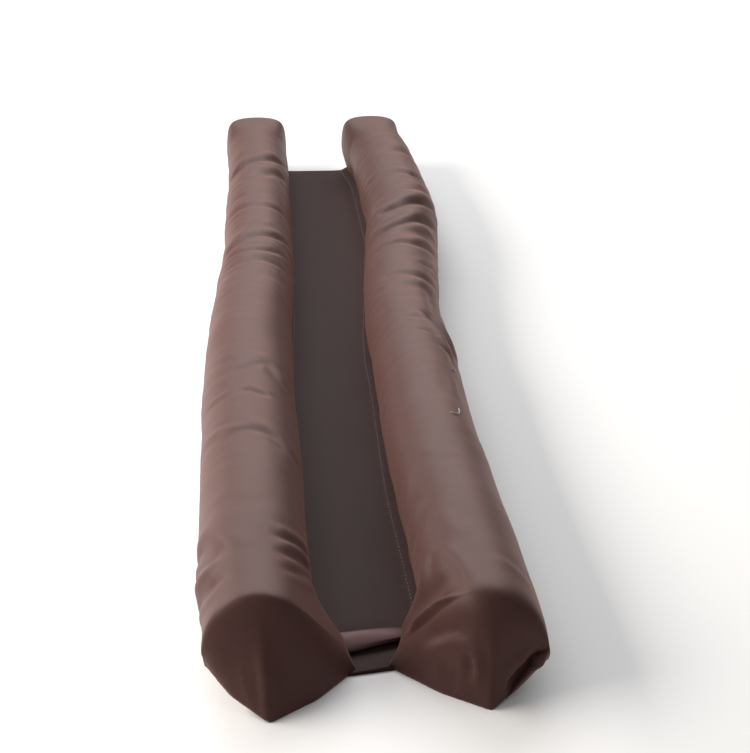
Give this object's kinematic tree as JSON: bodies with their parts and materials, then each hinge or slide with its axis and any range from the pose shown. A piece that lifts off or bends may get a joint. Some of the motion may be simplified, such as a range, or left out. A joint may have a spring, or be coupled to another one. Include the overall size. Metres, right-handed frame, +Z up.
{
  "type": "twin draught excluder",
  "caption": "Twin draught excluder for the foot of a door: stuffed cloth sleeves joined by a flat cloth web, with pointed sewn ends and uneven folds.",
  "frame": {"origin": "centre of the footprint, on the floor under the web", "axes": "+X across, from the left sleeve to the right one; +Y along the length, away from the end with the taut folds; +Z up"},
  "size_m": [0.1676, 0.941, 0.0525],
  "materials": {
    "sleeve_cloth": "smooth dark brown woven polyester with a soft sheen",
    "web_cloth": "the same dark brown cloth, double and flat"
  },
  "bodies": {
    "root": {"tube_left": "sleeve_cloth", "tube_right": "sleeve_cloth", "web": "web_cloth"}
  },
  "joints": []
}
